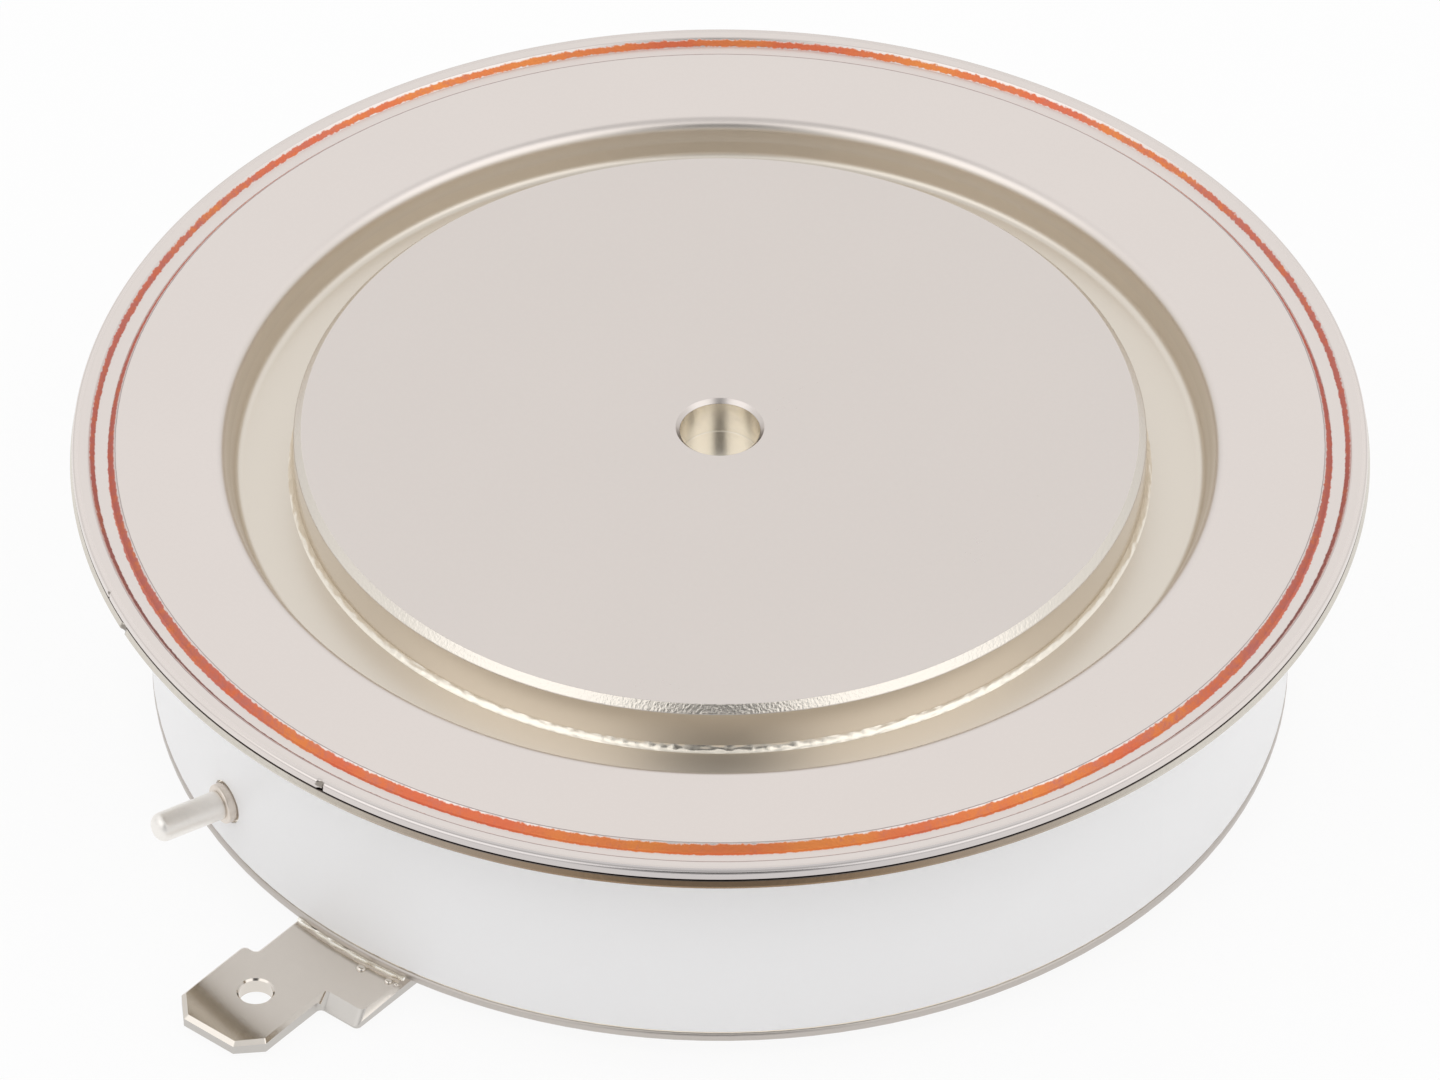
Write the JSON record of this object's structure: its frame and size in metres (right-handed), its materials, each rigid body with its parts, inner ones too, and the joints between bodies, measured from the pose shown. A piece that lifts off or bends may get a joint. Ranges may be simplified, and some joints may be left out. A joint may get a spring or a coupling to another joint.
{
  "type": "disc thyristor",
  "caption": "Flat ceramic disc thyristor with a nickel-plated contact pole on each side, a welded rim, a radial gate pin and a push-on cathode tab.",
  "frame": {"origin": "centre of the cathode contact face, which is the underside", "axes": "+Z along the capsule's axis to the anode contact face, -Y along the cathode tab"},
  "size_m": [0.0566, 0.0608, 0.0145],
  "materials": {
    "contact_nickel": "satin nickel plate on turned copper",
    "flange_nickel": "satin nickel plate on copper sheet, bare copper at the weld groove",
    "solder": "bright rough silver solder",
    "white_ceramic": "smooth white alumina",
    "tab_nickel": "bright nickel plate on stamped brass",
    "gate_metal": "bright drawn nickel",
    "insulator": "ivory plastic",
    "spring_steel": "drawn spring wire",
    "molybdenum": "ground molybdenum",
    "silicon": "polished silicon",
    "seal_rubber": "matte silicone rubber"
  },
  "bodies": {
    "root": {"anode_pole": "contact_nickel", "cathode_pole": "contact_nickel", "anode_lid": "flange_nickel", "weld_flange": "flange_nickel", "cathode_flange": "flange_nickel", "anode_braze": "solder", "cathode_braze": "solder", "upper_braze": "solder", "lower_braze": "solder", "gate_tube_braze": "solder", "ceramic_ring": "white_ceramic", "cathode_tab": "tab_nickel", "gate_tube": "gate_metal", "gate_pin": "gate_metal", "gate_lead": "gate_metal", "gate_contact": "gate_metal", "lead_sleeve": "insulator", "gate_cup": "insulator", "gate_bush": "insulator", "locating_ring": "insulator", "gate_spring": "spring_steel", "cathode_disc": "molybdenum", "anode_disc": "molybdenum", "silicon_wafer": "silicon", "edge_seal": "seal_rubber"}
  },
  "joints": []
}
